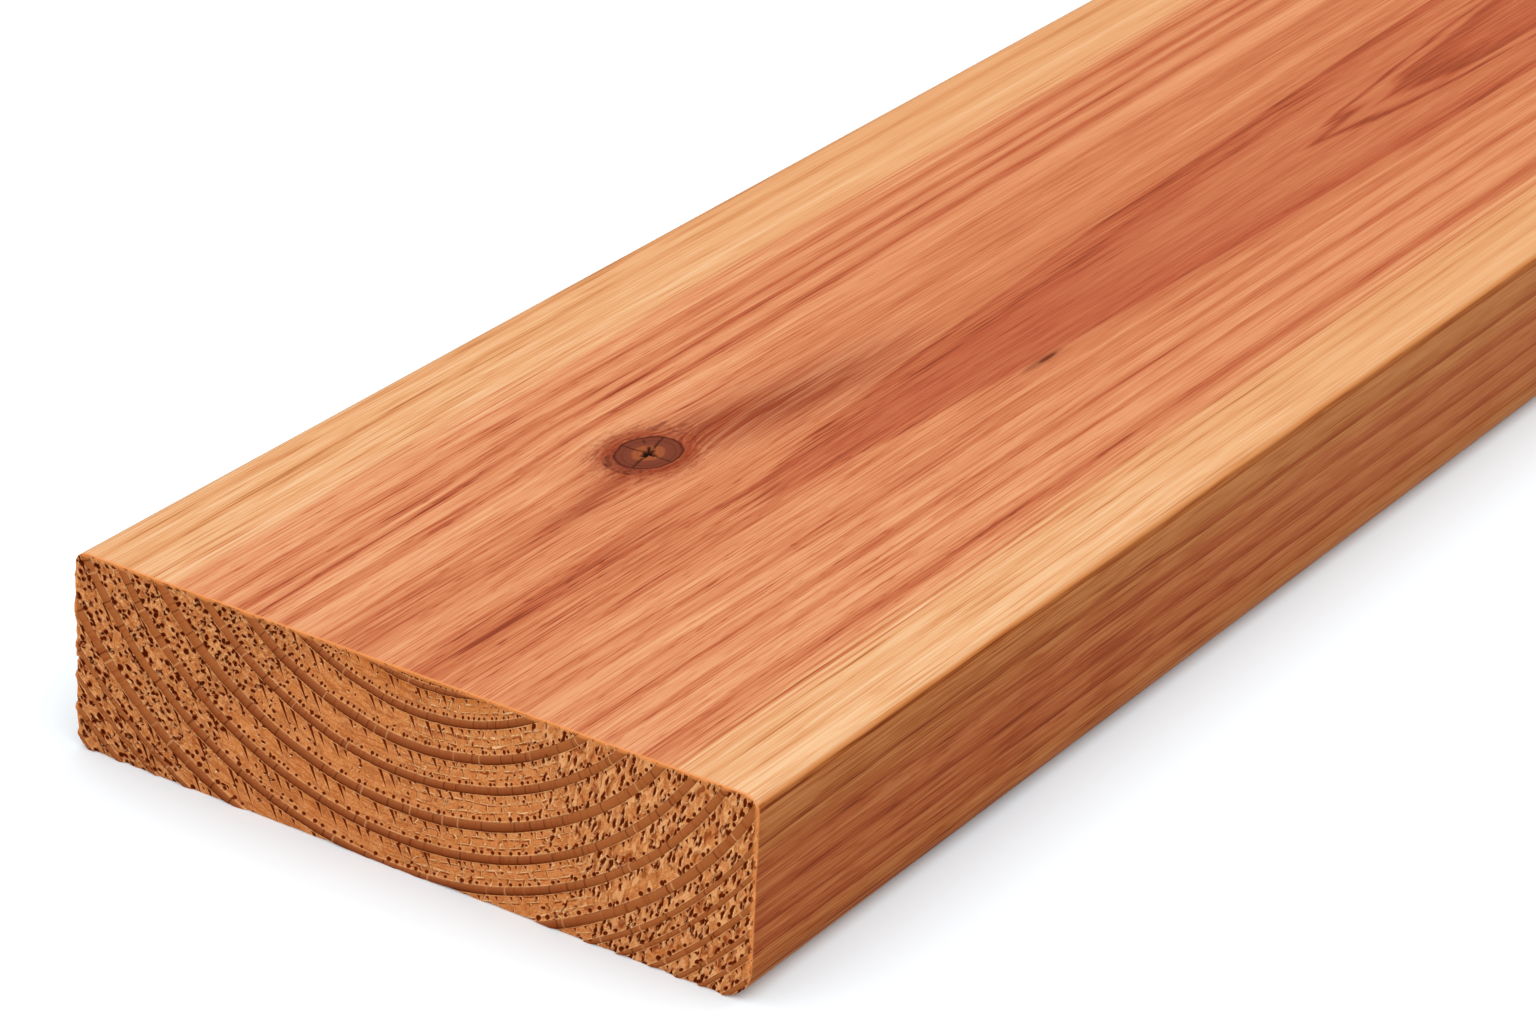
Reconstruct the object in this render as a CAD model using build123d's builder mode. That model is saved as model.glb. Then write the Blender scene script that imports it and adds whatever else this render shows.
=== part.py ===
"""Cedar plank, sawn to length and planed on its four long faces, lying flat with its heart side up.

Lengths are in millimetres. The plank runs along X, its width along Y and its thickness along Z.
The origin is at the middle of its underside.
"""

import os

from build123d import *

# Driving dimensions: a nominal two by six inch board, planed, six feet long.
LENGTH = 1829.0
WIDTH = 140.0
THICKNESS = 38.0
EASED_RADIUS = 3.0  # round that the planer leaves on the long edges
WORN_RADIUS = 6.0  # the lower long edge at -Y, rubbed rounder than the other three

# The section stands on its lower side at the -X end, and runs the whole length.
# In the sketch, X is across the width and Y is up.
with BuildPart() as plank:
    with BuildSketch(Plane.YZ.offset(-LENGTH / 2)) as section:
        Rectangle(WIDTH, THICKNESS, align=(Align.CENTER, Align.MIN))
        upper_corners = section.vertices().group_by(Axis.Y)[-1]
        fillet(upper_corners, radius=EASED_RADIUS)
        lower_left_corner = section.vertices().group_by(Axis.Y)[0].sort_by(Axis.X)[-1]
        fillet(lower_left_corner, radius=EASED_RADIUS)
        worn_corner = section.vertices().group_by(Axis.Y)[0].sort_by(Axis.X)[0]
        fillet(worn_corner, radius=WORN_RADIUS)
    extrude(amount=LENGTH)

plank.part.label = "plank"

os.makedirs("parts", exist_ok=True)
export_step(plank.part, "parts/plank.step")
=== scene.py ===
"""Cedar plank: dresses the frame's planed board with sawn end grain, growth rings, a knot and long grain.

Lengths are in millimetres until the mesh is made. s is the distance from the near end, which the camera
sees, y is across the width and z is up. Angles in an end face are about the pith, from straight down
towards -Y.
"""

import math
from collections import namedtuple
from functools import lru_cache, partial
from types import SimpleNamespace

import bpy
import numpy as np
from mathutils import Matrix, Vector


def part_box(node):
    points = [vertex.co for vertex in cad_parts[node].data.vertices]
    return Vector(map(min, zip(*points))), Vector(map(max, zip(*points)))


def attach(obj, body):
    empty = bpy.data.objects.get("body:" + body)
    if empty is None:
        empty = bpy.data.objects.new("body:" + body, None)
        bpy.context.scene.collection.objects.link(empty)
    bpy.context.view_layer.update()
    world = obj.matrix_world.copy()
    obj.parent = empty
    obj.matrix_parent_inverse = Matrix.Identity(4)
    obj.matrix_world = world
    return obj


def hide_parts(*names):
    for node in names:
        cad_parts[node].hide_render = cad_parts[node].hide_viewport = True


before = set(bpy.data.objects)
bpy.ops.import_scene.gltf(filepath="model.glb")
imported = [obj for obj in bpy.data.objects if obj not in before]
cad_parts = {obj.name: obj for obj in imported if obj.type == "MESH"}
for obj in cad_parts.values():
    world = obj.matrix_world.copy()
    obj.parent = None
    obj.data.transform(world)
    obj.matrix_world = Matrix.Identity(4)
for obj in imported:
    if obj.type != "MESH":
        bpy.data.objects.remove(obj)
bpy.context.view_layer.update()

# The board, as the frame holds it
MM = 0.001
LENGTH, WIDTH, THICKNESS = ((high - low) / MM for low, high in zip(*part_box("plank")))
EASED_RADIUS = 3.0
WORN_RADIUS = 6.0  # lower long edge at -Y

# Growth rings. The pith runs above the top face, so an end shows hanging arcs and the top face long Vs.
PITH_Y = -2.8
PITH_ABOVE_TOP = 38.2
PITH_DIP = 12.0  # how far the pith comes down towards the top face
PITH_DIP_LENGTH = 706.0
PITH_SWAY = 3.5  # how far it moves towards +Y
PITH_SWAY_LENGTH = 450.0
RING_DRIFT = 0.154  # the centre of a ring lies this much nearer +Y for each mm of radius
DRIFT_RADIUS = 45.0
CENTRE_ROUNDS = 6  # a ring's centre and radius depend on each other, and settle in this many rounds
HEART_SWING = -6.5  # the innermost rings swing to -Y away from the near end
HEART_SWING_LENGTH = 40.0
HEART_SWING_RADII = (37.0, 46.0)  # all of the swing inside the first, none outside the second
RING_EDGES = (
    17.5, 22.5, 27.5, 32.7, 36.6, 40.5, 46.0, 52.6, 58.4, 65.2, 71.2, 77.0,
    83.7, 87.5, 90.8, 95.0, 98.4, 101.5, 105.0, 108.5, 112.0,
)  # outer edges of the dark latewood bands
RING_WANDER = 0.16
LATEWOOD_START = 0.72  # share of a ring that is pale earlywood

# The knot in the top face
KNOT_S = 92.6
KNOT_Y = 15.0
KNOT_HALF_LENGTH = 7.4
KNOT_HALF_WIDTH = 5.6
KNOT_PUSH = 0.75  # how far it pushes fibres aside at its edge, as a share of their distance from its middle
KNOT_PUSH_FALL = 2.5  # power of the distance by which that falls outside it
KNOT_PUSH_DEPTH = 12.0
KNOT_DISH = 0.12
KNOT_CHECK_DEPTH = 0.9
KNOT_CRACK_DEPTH = 0.45
# A crack's angle is in degrees from +s towards +Y, and its start and end are shares of the knot's radius
Crack = namedtuple("Crack", "angle start end half_width")
KNOT_CRACKS = (
    Crack(93, 0.0, 1.0, 0.20),
    Crack(31, 0.0, 0.45, 0.26),
    Crack(12, 0.30, 1.08, 0.17),
    Crack(190, 0.0, 1.0, 0.18),
    Crack(267, 0.0, 1.0, 0.15),
    Crack(44, 0.62, 0.92, 0.14),
)

# The mesh. Counts of columns and rows are multiples of FINE_RATIO, and the knot's patch is whole cells.
FINE_RATIO = 3  # near end's cells to a cell of the long faces
COLUMNS = 450
LOW_ROWS = 21
MID_ROWS = 93
HIGH_ROWS = 12
RIM_STEPS = (0.8, 1.6)  # fine loops behind the near end's edge
RIM_REACH = 2.6
NEAR_LENGTH = 420.0  # finely spaced stretch of the long faces
NEAR_STEP = 12.0
FAR_STEPS = 15
PATCH_STEP = 6.2
PATCH_STEPS = 4
PATCH_HALF_WIDTH = 8.4
PATCH_RATIO_ALONG = 30
PATCH_RATIO_ACROSS = 4
PATCH_INSET = 0.15

# Relief of the sawn ends
EARLYWOOD_RECESS = 0.38
PIT_LIMIT = 0.95
RIM_HEIGHT = 0.1
LEFT_TEAR = 0.38  # how far the saw ate into each edge at most
RIGHT_TEAR = 0.12
BOTTOM_TEAR = 0.28
TEAR_REACH = 6.0
PIT_SEED = 11


def smoothstep(low, high, value):
    """Goes smoothly from 0 at low to 1 at high, or down if high is the smaller."""
    share = np.clip((value - low) / (high - low), 0.0, 1.0)
    return share * share * (3.0 - 2.0 * share)


def bell(offset):
    """1 at an offset of 0, falling to nearly 0 at 2 on both sides."""
    return np.exp(-(offset**2))


NOISE_SIZE = 256


@lru_cache(maxsize=None)
def noise_table(seed):
    return np.random.default_rng(seed).uniform(-1.0, 1.0, (NOISE_SIZE, NOISE_SIZE))


def lattice_noise(u, v, seed):
    """Smooth noise between -1 and 1, with about one bump to a unit of u and v."""
    values = noise_table(seed)
    cell_u = np.floor(u).astype(int)
    cell_v = np.floor(v).astype(int)
    share_u = smoothstep(0.0, 1.0, u - cell_u)
    share_v = smoothstep(0.0, 1.0, v - cell_v)

    def corner(i, j):
        return values[(cell_u + i) % NOISE_SIZE, (cell_v + j) % NOISE_SIZE]

    low = corner(0, 0) * (1 - share_u) + corner(1, 0) * share_u
    high = corner(0, 1) * (1 - share_u) + corner(1, 1) * share_u
    return low * (1 - share_v) + high * share_v


# Rings and knot

def pith_height(s):
    return THICKNESS + PITH_ABOVE_TOP - PITH_DIP * np.sin(s / PITH_DIP_LENGTH)


def ring_centre(s, radius):
    """The y of a ring's centre: rings lie off centre, and the inner ones swing away from the near end."""
    sway = PITH_SWAY * np.sin(s / PITH_SWAY_LENGTH)
    swing = HEART_SWING * (1.0 - np.exp(-s / HEART_SWING_LENGTH))
    inner = 1.0 - np.clip((radius - HEART_SWING_RADII[0]) / np.ptp(HEART_SWING_RADII), 0.0, 1.0)
    return PITH_Y + RING_DRIFT * (radius - DRIFT_RADIUS) + sway + swing * inner


def ring_polar(s, y, z):
    """The radius of the ring through a point and the point's angle in it."""
    above = pith_height(s) - z
    radius = np.hypot(y - PITH_Y, above)
    for _ in range(CENTRE_ROUNDS):
        centre = ring_centre(s, radius)
        radius = np.hypot(y - centre, above)
    return radius, np.arctan2(centre - y, above)


def wander(s, radius, angle):
    """How far the rings stray from true arcs."""
    size = RING_WANDER * smoothstep(30.0, 46.0, radius)
    broad = lattice_noise(angle * 4.0, radius / 12.0 + s / 60.0, 1)
    narrow = lattice_noise(angle * 9.0, radius / 7.0 + s / 25.0, 2)
    return size * (broad + 0.6 * narrow)


def ring_count(radius):
    """Counts rings outwards: the whole number changes at the outer edge of a latewood band."""
    return np.interp(radius, RING_EDGES, np.arange(len(RING_EDGES)))


def knot_polar(s, y):
    """Distance from the knot's middle as a share of its radius, and direction."""
    along = (s - KNOT_S) / KNOT_HALF_LENGTH
    across = (y - KNOT_Y) / KNOT_HALF_WIDTH
    return np.hypot(along, across), np.arctan2(across, along)


def part_round_knot(s, y, z):
    """The y that the fibres at a point have far from the knot, which they part around as water would."""
    share = knot_polar(s, y)[0]
    depth_fade = np.exp(-(THICKNESS - z) / KNOT_PUSH_DEPTH)
    push = KNOT_PUSH / np.maximum(share, 1.0) ** KNOT_PUSH_FALL
    return y - (y - KNOT_Y) * push * depth_fade


def knot_cracks(s, y):
    """1 in the knot's cracks and its star-shaped check, 0 outside them."""
    share, angle = knot_polar(s, y)
    check = 0.18 + 0.06 * np.cos(4.0 * angle + 0.4) + 0.04 * np.sin(3.0 * angle)
    dark = smoothstep(1.35 * check, 0.75 * check, share)
    for crack in KNOT_CRACKS:
        turn = math.radians(crack.angle)
        along = ((s - KNOT_S) * math.cos(turn) + (y - KNOT_Y) * math.sin(turn)) / KNOT_HALF_LENGTH
        stretch = math.hypot(math.cos(turn), math.sin(turn) * KNOT_HALF_LENGTH / KNOT_HALF_WIDTH)
        along = along * stretch
        bend = 0.22 * lattice_noise(along * 5.0, along * 0.0 + crack.angle, 8)
        off = np.abs((y - KNOT_Y) * math.cos(turn) - (s - KNOT_S) * math.sin(turn) + bend)
        groove = smoothstep(1.8 * crack.half_width, 0.4 * crack.half_width, off)
        reach = smoothstep(crack.start - 0.06, crack.start + 0.06, along)
        reach = reach * smoothstep(crack.end, crack.end - 0.08, along)
        dark = np.maximum(dark, groove * reach * (1.0 - 0.35 * smoothstep(0.3, 0.8, along)))
    return dark


def knot_recess(s, y):
    """How far the knot's face lies below the planed face: a shallow dish, cracks and a deep check."""
    share = knot_polar(s, y)[0]
    dish = KNOT_DISH * smoothstep(1.1, 0.75, share)
    depth = KNOT_CRACK_DEPTH + (KNOT_CHECK_DEPTH - KNOT_CRACK_DEPTH) * smoothstep(0.3, 0.1, share)
    return np.maximum(dish, depth * knot_cracks(s, y))


# Section and torn edges

def corner_inset(z, lower_radius):
    """How far a rounded side lies inside the square one."""
    below = np.clip(lower_radius - z, 0.0, None)
    above = np.clip(z - (THICKNESS - EASED_RADIUS), 0.0, None)
    lower = lower_radius - np.sqrt(lower_radius**2 - below**2)
    upper = EASED_RADIUS - np.sqrt(np.maximum(EASED_RADIUS**2 - above**2, 0.0))
    return lower + upper


def row_heights(low_rows, mid_rows, high_rows):
    """Heights of the section's rows, spaced evenly round the long edges' curves."""
    low = WORN_RADIUS * (1.0 - np.cos(np.linspace(0.0, np.pi / 2, low_rows + 1)))
    mid = np.linspace(WORN_RADIUS, THICKNESS - EASED_RADIUS, mid_rows + 1)
    high = THICKNESS - EASED_RADIUS + EASED_RADIUS * np.sin(np.linspace(0.0, np.pi / 2, high_rows + 1))
    return np.concatenate([low, mid[1:], high[1:]])


def section_grid(ratio):
    """The section as a grid of y and z: rows go up, and columns go from +Y to -Y."""
    heights = row_heights(LOW_ROWS // ratio, MID_ROWS // ratio, HIGH_ROWS // ratio)
    left = WIDTH / 2 - corner_inset(heights, EASED_RADIUS)
    right = -WIDTH / 2 + corner_inset(heights, WORN_RADIUS)
    share = np.linspace(0.0, 1.0, COLUMNS // ratio + 1)
    y = left[:, None] * (1.0 - share) + right[:, None] * share
    return y, np.repeat(heights[:, None], len(share), axis=1)


def outline(grid):
    """A grid's border in order: along its last row, down its last column, back along the first, and up."""
    return np.concatenate([grid[-1, :-1], grid[:0:-1, -1], grid[0, :0:-1], grid[:-1, 0]])


def bites(along, step, seed):
    """Uneven bites along an edge, from 0 to 1, about one to a step."""
    return 0.5 + 0.5 * lattice_noise(along / step, along * 0.0, seed)


def tear(y, z, fade):
    """Eats a little into the section's sides and bottom, where the saw tore the edges."""
    edge = WIDTH / 2
    left = LEFT_TEAR * bites(z, 1.5, 3) * smoothstep(edge - TEAR_REACH, edge, y)
    right = RIGHT_TEAR * bites(z, 1.2, 4) * smoothstep(edge - TEAR_REACH, edge, -y)
    bottom = BOTTOM_TEAR * bites(y, 1.4, 5) * smoothstep(0.0, TEAR_REACH, TEAR_REACH - z)
    return y + (right - left) * fade, z + bottom * fade


# Relief of the sawn ends

Pit = namedtuple("Pit", "radius angle half_width half_length turn depth")
Zone = namedtuple("Zone", "first last per_square_mm half_width half_length radial lean depth")
# Stretches of an end by angle in degrees: pitted, combed, bricked and torn. A pit is turned by the lean, in
# degrees from straight down, added to the angle of its radius if the zone is radial.
END_ZONES = (
    Zone(-180, -31, 0.13, (0.24, 0.40), (0.28, 0.55), 1.0, (-25, 25), (0.35, 0.85)),
    Zone(-31, 2, 0.03, (0.18, 0.26), (0.24, 0.50), 0.0, (12, 35), (0.25, 0.45)),
    Zone(2, 27, 0.03, (0.18, 0.24), (0.45, 0.90), 1.0, (-12, 12), (0.25, 0.45)),
    Zone(27, 180, 0.08, (0.22, 0.36), (0.50, 1.20), 0.0, (-32, 6), (0.30, 0.60)),
)


def scattered_pits(draw, s):
    """Pores and tears scattered over the earlywood, as thick as each stretch of the face has them."""
    most = max(zone.per_square_mm for zone in END_ZONES)
    count = int(most * WIDTH * THICKNESS)
    y = draw.uniform(-WIDTH / 2, WIDTH / 2, count)
    z = draw.uniform(0.0, THICKNESS, count)
    radii, angles = ring_polar(s, y, z)
    phases = ring_count(radii + wander(s, radii, angles)) % 1.0
    blurred = np.degrees(angles) + draw.normal(0.0, 2.5, count)
    chances = draw.uniform(size=count)
    shares = draw.uniform(size=(count, 4))
    for radius, angle, phase, degrees, chance, share in zip(radii, angles, phases, blurred, chances, shares):
        zone = next(zone for zone in END_ZONES if zone.first <= degrees < zone.last)
        if chance < zone.per_square_mm / most and phase < LATEWOOD_START - 0.04:
            limits = (zone.half_width, zone.half_length, zone.lean, zone.depth)
            width, length, lean, depth = map(np.interp, share, [(0, 1)] * 4, limits)
            yield Pit(radius, angle, width, length, zone.radial * angle + math.radians(lean), depth)


def stamp(pits, s, y, z):
    """Depth of the pits and height of the fuzzy rims around them, on an end's grid."""
    depth = np.zeros_like(y)
    rim = np.zeros_like(y)
    for pit in pits:
        radius = pit.radius - wander(s, np.array(pit.radius), np.array(pit.angle))
        centre_y = ring_centre(s, radius) - radius * math.sin(pit.angle)
        centre_z = pith_height(s) - radius * math.cos(pit.angle)
        reach = 1.7 * max(pit.half_width, pit.half_length)
        rows = slice(*np.searchsorted(z[:, 0], (centre_z - reach, centre_z + reach)))
        if rows.start == rows.stop:
            continue
        columns = slice(*np.searchsorted(-y[rows.start], (-centre_y - reach, -centre_y + reach)))
        dy = y[rows, columns] - centre_y
        dz = z[rows, columns] - centre_z
        across = (-dy * math.cos(pit.turn) + dz * math.sin(pit.turn)) / pit.half_width
        along = (-dy * math.sin(pit.turn) - dz * math.cos(pit.turn)) / pit.half_length
        share = np.hypot(across, along)
        here = pit.depth * smoothstep(1.1, 0.35, share)
        depth[rows, columns] = np.maximum(depth[rows, columns], here)
        rim[rows, columns] = np.maximum(rim[rows, columns], bell((share - 1.35) / 0.3))
    return np.minimum(depth, PIT_LIMIT), rim


def end_relief(s, y, z):
    """Recess of an end face at each point, and a mark that is under 0 in pits and over 0 on their rims."""
    radius, angle = ring_polar(s, y, z)
    phase = ring_count(radius + wander(s, radius, angle)) % 1.0
    half_band = (1.0 - LATEWOOD_START) / 2
    from_middle = (phase - 1.0 + half_band) / half_band
    rib = np.sqrt(np.clip(1.0 - from_middle**2, 0.0, 1.0))
    sides = smoothstep(math.radians(20), math.radians(40), np.abs(angle + math.radians(3)))
    rough = 0.05 * lattice_noise(y / 0.9, z / 0.9, 6) + 0.06 * lattice_noise(y / 2.3, z / 2.3, 7)
    recess = EARLYWOOD_RECESS * (1.0 - rib) + (0.5 + 1.3 * sides) * rough
    draw = np.random.default_rng(PIT_SEED)
    depth, rim = stamp(scattered_pits(draw, s), s, y, z)
    rim = rim * smoothstep(0.2, 0.02, depth) * (1.0 - rib)
    recess = np.maximum(recess + depth - RIM_HEIGHT * rim, 0.0)
    recess = recess * (1.0 - 0.85 * smoothstep(THICKNESS - 0.9, THICKNESS - 0.2, z))
    return recess, rim - depth / PIT_LIMIT


# Mesh

TOP, RIGHT, BOTTOM, LEFT, NEAR_END, FAR_END = range(6)


class Shell:
    """Collects points and faces of one closed mesh. A point is s, y, z, the girth at it and a relief mark."""

    def __init__(self):
        self.blocks = []
        self.count = 0
        self.faces = []
        self.sides = []
        self.girth = 0.0

    def add_points(self, s, y, z, girth, mark):
        block = np.stack(np.broadcast_arrays(s, y, z, girth, mark), axis=-1)
        self.blocks.append(block.reshape(-1, block.shape[-1]))
        first = self.count
        self.count += len(self.blocks[-1])
        return np.arange(first, self.count).reshape(block.shape[:-1])

    def add_faces(self, corners, side):
        """Adds faces given as arrays of corners. side is one number, or one for each face."""
        rows = np.stack([corner.ravel() for corner in corners], axis=-1)
        self.faces.extend(rows.tolist())
        self.sides.extend(np.broadcast_to(side, len(rows)).tolist())

    def add_grid(self, grid, side, flip=False):
        """Fills a grid of points with quads."""
        corners = [grid[:-1, :-1], grid[:-1, 1:], grid[1:, 1:], grid[1:, :-1]]
        self.add_faces(corners[::-1] if flip else corners, side)

    def join_loops(self, near, far, sides, keep=slice(None)):
        """Joins two loops of as many points, the far one further from the near end, where keep says so."""
        corners = [near, np.roll(near, -1), np.roll(far, -1), far]
        self.add_faces([corner[keep] for corner in corners], sides[keep])

    def stitch(self, fine, coarse, counts, sides):
        """Joins a fine loop to a coarse one. counts says how many fine steps go to each coarse one."""
        first = np.concatenate([[0], np.cumsum(counts)])
        for step, count in enumerate(counts):
            start = int(coarse[step])
            end = int(coarse[(step + 1) % len(coarse)])
            steps = [int(fine[(first[step] + k) % len(fine)]) for k in range(count + 1)]
            middle = (count + 1) // 2
            corners = [(steps[k], steps[k + 1], start if k < middle else end) for k in range(count)]
            corners.append((steps[middle], end, start))
            self.faces.extend(corners)
            self.sides.extend([sides[step]] * len(corners))


def loop_sides(ratio):
    """Which long face each step round the section belongs to."""
    rows = (LOW_ROWS + MID_ROWS + HIGH_ROWS) // ratio
    columns = COLUMNS // ratio
    return np.repeat([TOP, RIGHT, BOTTOM, LEFT], [columns, rows, columns, rows])


def loop_girth(y, z):
    """Distance round the section to each point of a loop, and the whole way round."""
    steps = np.hypot(np.roll(y, -1) - y, np.roll(z, -1) - z)
    return np.cumsum(steps) - steps, steps.sum()


def stations():
    """Distances from the near end of the long faces' loops, and which of them starts the knot's patch."""
    patch = KNOT_S + PATCH_STEP * (np.arange(PATCH_STEPS + 1) - PATCH_STEPS / 2)
    before = np.linspace(RIM_REACH, patch[0], round((patch[0] - RIM_REACH) / NEAR_STEP) + 1)
    after = np.linspace(patch[-1], NEAR_LENGTH, round((NEAR_LENGTH - patch[-1]) / NEAR_STEP) + 1)
    far = np.linspace(NEAR_LENGTH, LENGTH, FAR_STEPS + 1)
    return np.concatenate([before, patch[1:], after[1:], far[1:-1]]), len(before) - 1


def build_shell():
    """The whole plank as one closed shell, finest on the near end and round the knot, and its end edges."""
    shell = Shell()
    fine_y, fine_z = section_grid(1)
    recess, mark = end_relief(0.0, fine_y, fine_z)
    torn_y, torn_z = tear(fine_y, fine_z, 1.0)
    near_grid = shell.add_points(recess, torn_y, torn_z, 0.0, mark)
    shell.add_grid(near_grid, NEAR_END)
    near_edge = outline(near_grid)

    # Fine loops behind the near end's edge, where its relief and tears die out
    edge_y = outline(fine_y)
    edge_z = outline(fine_z)
    edge_recess = outline(recess)
    girth, shell.girth = loop_girth(edge_y, edge_z)
    shell.blocks[0][near_edge, 3] = girth
    last = near_edge
    for step in RIM_STEPS:
        fade = 1.0 - step / RIM_REACH
        loop_y, loop_z = tear(edge_y, edge_z, fade)
        loop = shell.add_points(step + edge_recess * fade, loop_y, loop_z, girth, 0.0)
        shell.join_loops(last, loop, loop_sides(1))
        last = loop

    # Coarse loops along the long faces, with a hole round the knot
    coarse = slice(None, None, FINE_RATIO)
    where, patch_first = stations()
    section = (edge_y[coarse], edge_z[coarse], girth[coarse])
    loops = np.array([shell.add_points(s, *section, 0.0) for s in where])
    sides = loop_sides(FINE_RATIO)
    shell.stitch(last, loops[0], [FINE_RATIO] * len(sides), sides)
    top_y = edge_y[coarse][: COLUMNS // FINE_RATIO]
    left = int(np.searchsorted(-top_y, -KNOT_Y - PATCH_HALF_WIDTH))
    right = int(np.searchsorted(-top_y, -KNOT_Y + PATCH_HALF_WIDTH))
    beside_patch = np.ones(len(sides), bool)
    beside_patch[left:right] = False
    for row in range(len(where) - 1):
        in_patch = patch_first <= row < patch_first + PATCH_STEPS
        shell.join_loops(loops[row], loops[row + 1], sides, beside_patch if in_patch else slice(None))

    # The fine patch with the knot fills the hole. Its rows run along the plank and its columns to -Y.
    patch_s = np.linspace(
        where[patch_first] + PATCH_INSET,
        where[patch_first + PATCH_STEPS] - PATCH_INSET,
        PATCH_STEPS * PATCH_RATIO_ALONG + 1,
    )[:, None]
    across_cells = right - left
    patch_y = np.linspace(
        top_y[left] - PATCH_INSET,
        top_y[right] + PATCH_INSET,
        across_cells * PATCH_RATIO_ACROSS + 1,
    )
    patch_z = THICKNESS - knot_recess(patch_s, patch_y)
    patch = shell.add_points(patch_s, patch_y, patch_z, top_y[0] - patch_y, 0.0)
    shell.add_grid(patch, TOP)
    hole = loops[patch_first : patch_first + PATCH_STEPS + 1, left : right + 1]
    around = [PATCH_RATIO_ACROSS] * across_cells + [PATCH_RATIO_ALONG] * PATCH_STEPS
    shell.stitch(outline(patch), outline(hole), around * 2, [TOP] * (2 * len(around)))

    # The far end closes the shell
    far_y, far_z = section_grid(FINE_RATIO)
    far_recess, far_mark = end_relief(LENGTH, far_y, far_z)
    far_grid = shell.add_points(LENGTH - far_recess, far_y, far_z, 0.0, far_mark)
    far_edge = outline(far_grid)
    shell.blocks[-1][far_edge - far_grid.min(), 3] = girth[coarse]
    shell.add_grid(far_grid, FAR_END, flip=True)
    shell.join_loops(loops[-1], far_edge, sides)
    return shell, np.concatenate([near_edge, far_edge])


# What the materials read at each point

SAP_LEFT = 49.5  # the pale sapwood starts this far out on the +Y side of the broad faces
SAP_RIGHT = 54.0  # and this far on the -Y side
SAP_BLEND = 13.0
EDGE_HEART_Z = 17.0  # middle of the red band along the narrow faces
EDGE_HEART_HALF = 9.5
# Brown stain running off the knot: its path is s and y, and rise and fall are where it comes and goes
Tail = namedtuple("Tail", "path half_width strength rise fall")
KNOT_TAILS = (
    Tail(((97.0, 14.0), (112.0, 10.5), (140.0, 6.0), (185.0, 3.0)), 7.0, 1.0, 5.0, 60.0),
    Tail(((50.0, 10.0), (72.0, 11.5), (86.0, 13.5)), 1.8, 0.9, 26.0, 2.0),
)
FLAME_TOP = ((84.0, -11.4), (100.0, -9.8), (140.0, -6.0), (200.0, -2.5), (250.0, 1.0), (325.0, 2.5))
FLAME_BOTTOM = ((84.0, -12.0), (125.0, -16.0), (160.0, -20.5), (212.0, -24.0), (300.0, -27.0))
FLAME_COMES = (86.0, 118.0)  # values of s between which it comes, pales and goes
FLAME_PALES = (180.0, 290.0)
FLAME_GOES = (620.0, 420.0)
FLAME_EDGE_COMES = (110.0, 150.0)  # and between which the dark line on its +Y side comes and goes
FLAME_EDGE_GOES = (420.0, 260.0)
CENTRE_BAND = ((0.0, -3.8), (75.0, -2.4))  # path of the dark line before it
CENTRE_BAND_GOES = (90.0, 45.0)
NO_KNOT = 99.0  # distance from the knot, in radii, given to points below the top face
BARK_ANGLE = 172.0  # middle of the knot's bark, in degrees from +s towards +Y
BARK_ENDS = (58.0, 25.0)  # degrees from there at which it ends and has its full width
BARK_WIDTH = 0.34  # as a share of the knot's radius


def flank_share(y, z):
    """1 on the narrow faces and the rounds below them, 0 on the broad faces."""
    upper = smoothstep(WIDTH / 2 - 0.75, WIDTH / 2 - 0.3, np.abs(y))
    lower = smoothstep(WIDTH / 2 - WORN_RADIUS, WIDTH / 2 - WORN_RADIUS / 2, np.abs(y))
    return np.where(z > THICKNESS / 2, upper, lower)


def heartwood(y, z):
    """Over 0.5 in the red heartwood and under 0.5 in the pale sapwood, blended over a few mm."""
    broad = 0.5 + (np.where(y > 0, SAP_LEFT, SAP_RIGHT) - np.abs(y)) / SAP_BLEND
    narrow = 0.5 + (EDGE_HEART_HALF - np.abs(z - EDGE_HEART_Z)) / SAP_BLEND
    flank = flank_share(y, z)
    return np.clip(broad * (1.0 - flank) + narrow * flank, 0.0, 1.0)


def path_offset(s, y, path):
    """How far a point lies on the +Y side of a path along the top face."""
    return y - np.interp(s, *np.transpose(path))


def near_top(z):
    """1 at the top face and 0 a few mm below it."""
    return smoothstep(THICKNESS - 4.0, THICKNESS - 1.0, z)


def knot_stain(s, y, z):
    """Brown stain of the fibres that run off the knot, and of those pressed round it."""
    share = knot_polar(s, y)[0]
    stain = 0.9 * np.exp(-(np.clip(share - 1.0, 0.0, None) ** 2) / 0.35)
    for tail in KNOT_TAILS:
        first = tail.path[0][0]
        last = tail.path[-1][0]
        ends = smoothstep(first, first + tail.rise, s) * smoothstep(last, last - tail.fall, s)
        spread = bell(path_offset(s, y, tail.path) / tail.half_width)
        stain = np.maximum(stain, tail.strength * spread * ends)
    return stain * near_top(z)


def red_flame(s, y, z):
    """The redder tongue of heartwood along the top face's middle, and the dark lines beside and before it."""
    below_top = -path_offset(s, y, FLAME_TOP)
    above_bottom = path_offset(s, y, FLAME_BOTTOM)
    inside = smoothstep(-0.6, 1.4, below_top) * smoothstep(-1.0, 5.0, above_bottom)
    length = smoothstep(*FLAME_COMES, s) * smoothstep(*FLAME_GOES, s)
    length = length * (1.0 - 0.6 * smoothstep(*FLAME_PALES, s))
    edge = bell(below_top / 1.2) * smoothstep(*FLAME_EDGE_COMES, s) * smoothstep(*FLAME_EDGE_GOES, s)
    centre = bell(path_offset(s, y, CENTRE_BAND) / 2.0) * smoothstep(*CENTRE_BAND_GOES, s)
    return inside * length * near_top(z), np.maximum(0.7 * edge, centre) * near_top(z)


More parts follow.
